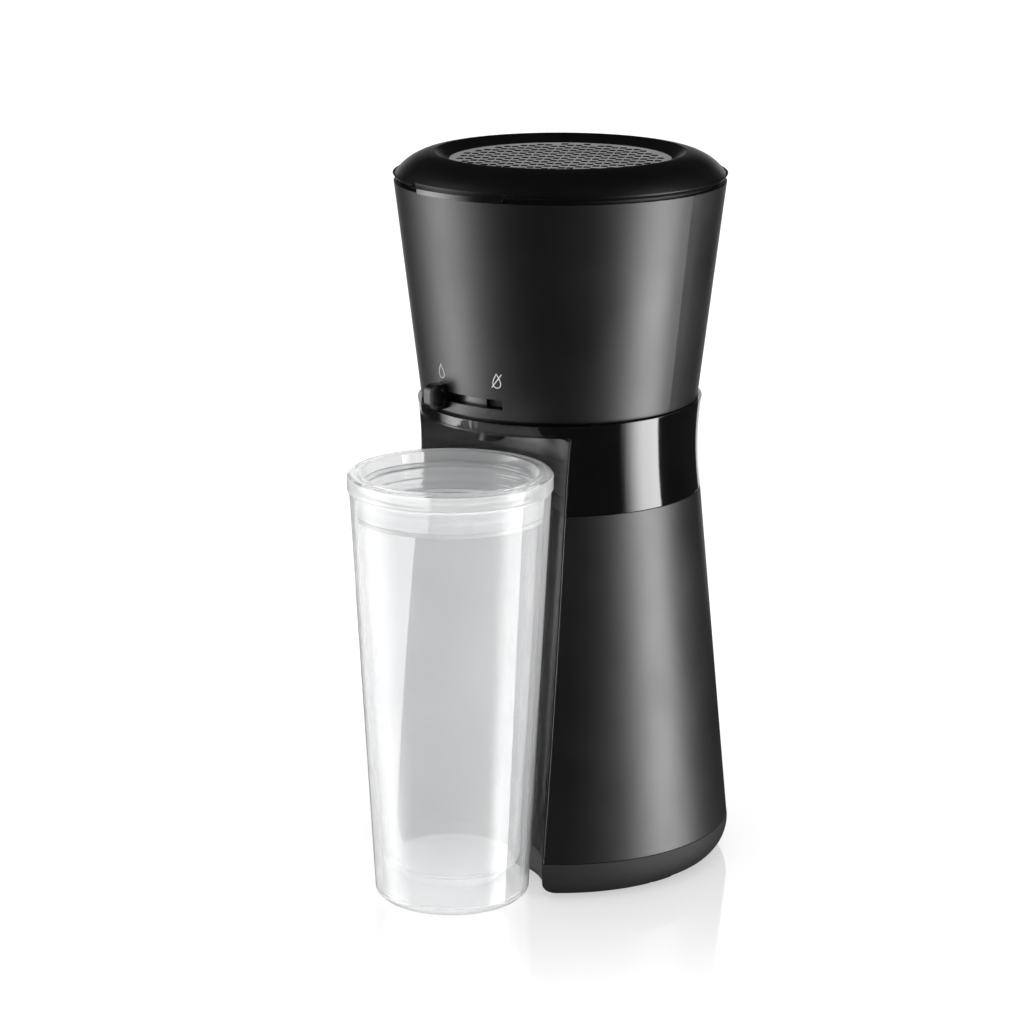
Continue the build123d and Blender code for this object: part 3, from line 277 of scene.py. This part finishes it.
def piece(name, vertices, faces, shader, body, smooth=True):
    """Mesh that rides on a body of the part and belongs to one of the material slots."""
    thing = mesh_object(name, vertices, faces, shader)
    for polygon in thing.data.polygons:
        polygon.use_smooth = smooth
    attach(thing, body)
    return thing


# Tumbler: smooth turned walls with a rounded rim, inner threads and a milky band under the rim, in millimetres

TUMBLER_X, TUMBLER_Y = 3.9, -53.4
TUMBLER_HIGH = 177.8
RIM_LOW = TUMBLER_HIGH - 6.6
SKIRT_LOW = TUMBLER_HIGH - 16.2
FOOT_RADIUS, FLARE = 31.4, 9.2
WALL = 1.8
AIR_GAP = 2.2
FIT = 0.2
TURN_STEPS = 160
BEND_STEPS = 4


def shell_radius(z):
    """Outer radius of the outer wall at a height."""
    return FOOT_RADIUS + FLARE * z / RIM_LOW


def liner_radius(z):
    """Outer radius of the inner cup at a height."""
    return shell_radius(z) - WALL - AIR_GAP


def rounded(points, radius):
    """Outline with its corners rounded, each by up to a radius and by less than half of its sides."""
    points = [Vector(p) for p in points]
    path = [points[0]]
    for before, corner, after in zip(points, points[1:], points[2:]):
        cut = min(radius, (before - corner).length / 2.1, (after - corner).length / 2.1)
        first = corner + cut * (before - corner).normalized()
        last = corner + cut * (after - corner).normalized()
        for i in range(BEND_STEPS + 1):
            t = i / BEND_STEPS
            path.append((1 - t) ** 2 * first + 2 * t * (1 - t) * corner + t * t * last)
    return path + [points[-1]]


def turned(name, outline, shaders, pick, body):
    """Solid turned about the tumbler's axis from an outline that starts and ends on it."""
    rings, vertices, faces, picks = [], [], [], []
    for r, z in outline:
        start = len(vertices)
        count = TURN_STEPS if r > 0 else 1
        for k in range(count):
            a = 2 * pi * k / TURN_STEPS
            vertices.append(((TUMBLER_X + r * cos(a)) * MM, (TUMBLER_Y + r * sin(a)) * MM, z * MM))
        rings.append((start, count))
    for i, ((low, m), (high, n)) in enumerate(zip(rings, rings[1:])):
        picked = pick((outline[i] + outline[i + 1]) / 2)
        for k in range(TURN_STEPS):
            j = (k + 1) % TURN_STEPS
            corners = [low + k % m, low + j % m, high + j % n, high + k % n]
            faces.append(list(dict.fromkeys(corners)))
            picks.append(picked)
    thing = piece(name, vertices, faces, shaders[0], body)
    for shader in shaders[1:]:
        thing.data.materials.append(shader.material)
    for polygon, picked in zip(thing.data.polygons, picks):
        polygon.material_index = picked
    shape = bmesh.new()
    shape.from_mesh(thing.data)
    bmesh.ops.recalc_face_normals(shape, faces=shape.faces)
    shape.to_mesh(thing.data)
    shape.free()
    # Clear plastic would block the lamp wholly
    thing.visible_shadow = False
    return thing


HOLLOW_RADIUS, HOLLOW_HIGH, STAND_RADIUS = 26.2, 0.6, 29.0
SHELL_FLOOR, SHELL_BEVEL = 2.4, 1.5
SHELL_TOP = RIM_LOW - FIT
SHELL_BEND = SHELL_FLOOR + SHELL_BEVEL
MILKY_FOOT = 3.2
shell_line = rounded([
    (0, HOLLOW_HIGH), (HOLLOW_RADIUS, HOLLOW_HIGH), (HOLLOW_RADIUS + HOLLOW_HIGH, 0), (STAND_RADIUS, 0),
    (shell_radius(SHELL_FLOOR), SHELL_FLOOR), (shell_radius(SHELL_TOP), SHELL_TOP),
    (shell_radius(SHELL_TOP) - WALL, SHELL_TOP), (shell_radius(SHELL_BEND) - WALL, SHELL_BEND),
    (shell_radius(SHELL_FLOOR) - WALL - SHELL_BEVEL, SHELL_FLOOR), (0, SHELL_FLOOR),
], 0.8)


def shell_part(p):
    """0 for the clear wall, 1 for the milky skirt and foot."""
    return int(p.y > SKIRT_LOW or p.y < MILKY_FOOT)


shell = turned("tumbler_outer_wall", shell_line, (clear, milky), shell_part, "tumbler")
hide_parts("tumbler_shell")

LINER_LOW, LINER_BEND = 12.0, 6.0
SPIGOT_RADIUS, SPIGOT_DEEP = 18.0, 4.0
RIM_RADIUS, RIM_BEVEL = 41.4, 1.2
GROOVE_OUTER, GROOVE_INNER, GROOVE_SIDE, GROOVE_DEEP = 39.0, 37.0, 0.4, 0.7
LIP_ROOM = 0.3
THREADS, THREAD_FIRST, THREAD_PITCH, THREAD_DEEP = 4, 5.0, 4.2, 0.9
THREAD_PROFILE = ((0, 0.7), (THREAD_DEEP, -0.2), (THREAD_DEEP, -1.2), (0, -2.0))
MILKY_FLOOR, GLASSY_LIP = 3.0, 0.9
SKIRT_FIT = WALL + FIT
bend_z = LINER_LOW + LINER_BEND
spigot_low = LINER_LOW - SPIGOT_DEEP
groove_low = TUMBLER_HIGH - GROOVE_DEEP
liner_outer = [
    (0, LINER_LOW), (SPIGOT_RADIUS, LINER_LOW), (SPIGOT_RADIUS, spigot_low), (SPIGOT_RADIUS + WALL, spigot_low),
    (SPIGOT_RADIUS + WALL, LINER_LOW), (liner_radius(LINER_LOW) - LINER_BEND, LINER_LOW),
    (liner_radius(LINER_LOW + 2) - 1.6, LINER_LOW + 2), (liner_radius(bend_z), bend_z),
    (liner_radius(SKIRT_LOW), SKIRT_LOW), (shell_radius(SKIRT_LOW) - SKIRT_FIT, SKIRT_LOW),
    (shell_radius(RIM_LOW) - SKIRT_FIT, RIM_LOW), (RIM_RADIUS, RIM_LOW), (RIM_RADIUS, TUMBLER_HIGH - RIM_BEVEL),
    (RIM_RADIUS - RIM_BEVEL, TUMBLER_HIGH), (GROOVE_OUTER, TUMBLER_HIGH),
    (GROOVE_OUTER - GROOVE_SIDE, groove_low), (GROOVE_INNER + GROOVE_SIDE, groove_low),
    (GROOVE_INNER, TUMBLER_HIGH), (liner_radius(TUMBLER_HIGH) - WALL + LIP_ROOM, TUMBLER_HIGH),
]
liner_inner = []
for i in range(THREADS):
    z = TUMBLER_HIGH - THREAD_FIRST - i * THREAD_PITCH
    liner_inner += [(liner_radius(z) - WALL - deep, z + rise) for deep, rise in THREAD_PROFILE]
liner_inner += [
    (liner_radius(bend_z) - WALL, bend_z + 0.9), (liner_radius(LINER_LOW) - 3.4, LINER_LOW + 3.4),
    (liner_radius(LINER_LOW) - 6.9, LINER_LOW + WALL), (0, LINER_LOW + WALL),
]
liner_line = rounded(liner_outer + liner_inner, 0.5)


def liner_part(p):
    """0 for the clear wall, 1 for the milky skirt and floor, 2 for the glassy lip and threads."""
    if p.y > TUMBLER_HIGH - GLASSY_LIP or p.y > SKIRT_LOW and p.x < liner_radius(p.y) - WALL / 2:
        return 2
    return int(p.y > SKIRT_LOW - 0.1 or p.y < LINER_LOW + MILKY_FLOOR)


liner = turned("tumbler_inner_cup", liner_line, (clear, milky, glassy), liner_part, "tumbler")
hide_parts("tumbler_liner")


def at(radius, angle, z):
    """Place round the machine's axis, in metres from millimetres, with the angle in radians from its front."""
    return (radius * sin(angle) * MM, (MACHINE_Y - radius * cos(angle)) * MM, z * MM)


# Plate behind the slot, which closes it where the slider's strip ends. It hangs from the cone's wall.

BACK_INNER, BACK_OUTER, BACK_REACH = 50.7, 52.3, 56.2
BACK_LOW, BACK_FLANGE, BACK_HIGH = 201.2, 207.9, 209.1
BACK_FIRST, BACK_LAST, BACK_STEPS = 5.8, 19.0, 16
back_outline = [
    (BACK_INNER, BACK_LOW), (BACK_OUTER, BACK_LOW), (BACK_OUTER, BACK_FLANGE), (BACK_REACH, BACK_FLANGE),
    (BACK_REACH, BACK_HIGH), (BACK_INNER, BACK_HIGH),
]
back_points, back_faces = [], []
for i in range(BACK_STEPS + 1):
    a = radians(BACK_FIRST + (BACK_LAST - BACK_FIRST) * i / BACK_STEPS)
    back_points += [at(r, a, z) for r, z in back_outline]
corner_count = len(back_outline)
for i in range(BACK_STEPS):
    low, high = corner_count * i, corner_count * (i + 1)
    for k in range(corner_count):
        j = (k + 1) % corner_count
        back_faces.append((low + k, low + j, high + j, high + k))
back_faces.append(tuple(reversed(range(corner_count))))
back_faces.append(tuple(corner_count * BACK_STEPS + k for k in range(corner_count)))
piece("slot_backing", back_points, back_faces, basket_grey, "machine", smooth=False)

# Drop marks printed on the brew cone above the slot, in millimetres across and up from a middle

CONE_LOW_Z, CONE_LOW_R = 196.8, 57.2
CONE_SLOPE = (68.0 - 57.2) / 89.4
MARK_WIDTH, MARK_LIFT = 0.36, 0.05
OPEN_MARK = (-14.2, 213.65)
CROSSED_MARK = (14.3, 213.45)
DROP_ACROSS, DROP_HEIGHT, DROP_POINT, DROP_STEPS = 2.408, 2.95, 1.4, 48
STROKE_ACROSS, STROKE_HEIGHT, STROKE_STEPS = 2.3, 2.9, 10


def on_cone(angle, across, z, lift):
    """Place on the cone, across millimetres round from an angle and lift above its surface."""
    radius = CONE_LOW_R + CONE_SLOPE * (z - CONE_LOW_Z)
    return at(radius + lift, radians(angle) + across / radius, z)


def ribbon(name, path, middle, closed):
    """Thin printed line that follows a path about an angle and height on the cone."""
    angle, middle_z = middle
    vertices, faces = [], []
    count = len(path)
    for i, (u, v) in enumerate(path):
        before = path[i - 1] if closed or i else path[i]
        after = path[(i + 1) % count] if closed or i + 1 < count else path[i]
        run = Vector((after[0] - before[0], after[1] - before[1])).normalized() * (MARK_WIDTH / 2)
        for side, lift in ((-1, -MARK_LIFT), (1, -MARK_LIFT), (1, MARK_LIFT), (-1, MARK_LIFT)):
            vertices.append(on_cone(angle, u - side * run.y, middle_z + v + side * run.x, lift))
    for i in range(count if closed else count - 1):
        low, high = 4 * i, 4 * ((i + 1) % count)
        for k in range(4):
            j = (k + 1) % 4
            faces.append((low + k, low + j, high + j, high + k))
    piece(name, vertices, faces, print_white, "machine", smooth=False)


drop = []
for i in range(DROP_STEPS):
    t = 2 * pi * i / DROP_STEPS
    drop.append((DROP_ACROSS * sin(t) * sin(t / 2) ** DROP_POINT, DROP_HEIGHT * cos(t)))
stroke = []
for i in range(STROKE_STEPS + 1):
    t = 2 * i / STROKE_STEPS - 1
    stroke.append((STROKE_ACROSS * t, STROKE_HEIGHT * t))
ribbon("open_drop_mark", drop, OPEN_MARK, True)
ribbon("crossed_drop_mark", drop, CROSSED_MARK, True)
ribbon("cross_stroke_mark", stroke, CROSSED_MARK, False)


# Floor, backdrop and lights, in metres


def near(s, middle, inner, outer):
    """1 inside a circle on the floor, fading to 0 at the outer one."""
    away = s.add("ShaderNodeVectorMath", operation="DISTANCE")
    s.join(s.place, away.inputs[0])
    away.inputs[1].default_value = middle
    fade = s.add("ShaderNodeMapRange", interpolation_type="SMOOTHSTEP")
    fade.inputs["From Min"].default_value = inner
    fade.inputs["From Max"].default_value = outer
    fade.inputs["To Min"].default_value = 1
    fade.inputs["To Max"].default_value = 0
    s.join(away.outputs["Value"], fade.inputs["Value"])
    return fade.outputs["Result"]


# White floor that glows, more where the camera sees it, with a weak mirror near the machine and the tumbler
FLOOR_REACH = 6.0
FLOOR_GLOW, FLOOR_SEEN = 0.38, 0.35
MIRROR_ROUGH, MIRROR_SHARE = 0.07, 0.28
MIRROR_BASE, MIRROR_TUMBLER = (0.066, 0.26), (0.030, 0.20)
s = Shader("floor_white")
s.material.cycles.emission_sampling = "NONE"
s.set(Roughness=0.6, Specular_IOR_Level=0.0, Emission_Color=(1, 1, 1, 1))
s.join(s.ramp(s.noise(3), 0.40, 0.41), s.bsdf.inputs["Base Color"])
rays = s.add("ShaderNodeLightPath")
seen = s.math("MAXIMUM", rays.outputs["Is Camera Ray"], rays.outputs["Is Transmission Ray"])
s.join(s.math("MULTIPLY_ADD", seen, FLOOR_SEEN, FLOOR_GLOW), s.bsdf.inputs["Emission Strength"])
mirror = s.add("ShaderNodeBsdfGlossy")
mirror.inputs["Roughness"].default_value = MIRROR_ROUGH
mixed = s.add("ShaderNodeMixShader")
mask = s.math("MAXIMUM", near(s, AXIS, *MIRROR_BASE),
              near(s, (TUMBLER_X * MM, TUMBLER_Y * MM, 0), *MIRROR_TUMBLER))
s.join(s.math("MULTIPLY", mask, MIRROR_SHARE), mixed.inputs["Fac"])
s.join(s.bsdf.outputs[0], mixed.inputs[1])
s.join(mirror.outputs[0], mixed.inputs[2])
s.join(mixed.outputs[0], s.output.inputs["Surface"])
floor_corners = [(x * FLOOR_REACH, y * FLOOR_REACH, 0) for x, y in ((-1, -1), (1, -1), (1, 1), (-1, 1))]
floor = mesh_object("floor", floor_corners, [(0, 1, 2, 3)], s)
floor.visible_glossy = False
floor.visible_shadow = False

# Low white card behind the machine, seen only in gloss: in the sheen of the floor and along the lid's edge
CARD_FIRST, CARD_SPAN, CARD_STEPS = 150, 60, 24
CARD_DISTANCE, CARD_HIGH = 0.42, 0.345
s = Shader("card_white")
s.set(Base_Color=(0, 0, 0, 1), Specular_IOR_Level=0.0, Emission_Color=(1, 1, 1, 1), Emission_Strength=1.0)
s.material.cycles.emission_sampling = "NONE"
card_points, card_faces = [], []
for i in range(CARD_STEPS + 1):
    spot = around(CARD_FIRST + CARD_SPAN * i / CARD_STEPS, CARD_DISTANCE, 0)
    card_points += [(spot.x, spot.y, 0.0), (spot.x, spot.y, CARD_HIGH)]
    if i:
        card_faces.append((2 * i - 2, 2 * i, 2 * i + 1, 2 * i - 1))
card = mesh_object("card", card_points, card_faces, s)
for ray in ("camera", "diffuse", "transmission", "volume_scatter", "shadow"):
    setattr(card, "visible_" + ray, False)

# World: white and even, but dark where gloss shows it
WORLD_FILL = 1.0
WORLD_GLOSS = 0.03
world = bpy.data.worlds.new("world")
scene.world = world
world.use_nodes = True
world.cycles.sampling_method = "NONE"
tree = world.node_tree
strength = tree.nodes.new("ShaderNodeMath")
strength.operation = "MULTIPLY_ADD"
strength.inputs[1].default_value = WORLD_GLOSS - WORLD_FILL
strength.inputs[2].default_value = WORLD_FILL
tree.links.new(tree.nodes.new("ShaderNodeLightPath").outputs["Is Glossy Ray"], strength.inputs[0])
background = tree.nodes["Background"]
background.inputs["Color"].default_value = (1, 1, 1, 1)
tree.links.new(strength.outputs[0], background.inputs["Strength"])


def area_lamp(name, width, height, energy, place, target, hidden):
    """Rectangular lamp that is aimed at a target and doesn't show to some kinds of rays."""
    data = bpy.data.lights.new(name, "AREA")
    data.shape = "RECTANGLE"
    data.size, data.size_y = width, height
    data.energy = energy
    lamp = link(bpy.data.objects.new(name, data))
    lamp.location = place
    lamp.rotation_mode = "QUATERNION"
    lamp.rotation_quaternion = (target - place).to_track_quat("-Z", "Y")
    for ray in hidden:
        setattr(lamp, "visible_" + ray, False)
    return data


STRIP_LOW, STRIP_HIGH, STRIP_DISTANCE = -0.9, 1.5, 1.4


def strip_light(name, first, last, radiance, glow):
    """Tall soft box that spans the angles first to last, with a glow from (share of width, strength) pairs."""
    width = 2 * STRIP_DISTANCE * tan(radians((last - first) / 2))
    height = STRIP_HIGH - STRIP_LOW
    middle_z = (STRIP_LOW + STRIP_HIGH) / 2
    data = area_lamp(name, width, height, radiance * pi * width * height,
                     around((first + last) / 2, STRIP_DISTANCE, middle_z), AXIS + Vector((0, 0, middle_z)),
                     ("camera", "transmission", "diffuse"))
    data.use_nodes = True
    nodes, links = data.node_tree.nodes, data.node_tree.links
    split = nodes.new("ShaderNodeSeparateXYZ")
    ramp = nodes.new("ShaderNodeValToRGB")
    ramp.color_ramp.interpolation = "EASE"
    stops = ramp.color_ramp.elements
    while len(stops) < len(glow):
        stops.new(0.5)
    for stop, (share, strength) in zip(stops, glow):
        stop.position = share
        stop.color = (strength, strength, strength, 1)
    links.new(nodes.new("ShaderNodeNewGeometry").outputs["Parametric"], split.inputs[0])
    links.new(split.outputs["X"], ramp.inputs["Fac"])
    links.new(ramp.outputs["Color"], nodes["Emission"].inputs["Strength"])


strip_light("right_strip", 50, 88.5, 13.5, ((0.0, 0.0), (0.6, 1.0), (1.0, 1.0)))
strip_light("left_strip", -118, -57, 7.2, ((0.0, 0.0), (0.47, 1.0), (1.0, 0.0)))

TOP_SIZE, TOP_WATTS = 2.4, 9.0
area_lamp("top_fill", TOP_SIZE, TOP_SIZE, TOP_WATTS, around(-35, 0.7, 1.5), AXIS + Vector((0, 0, 0.1)),
          ("camera", "transmission", "glossy"))
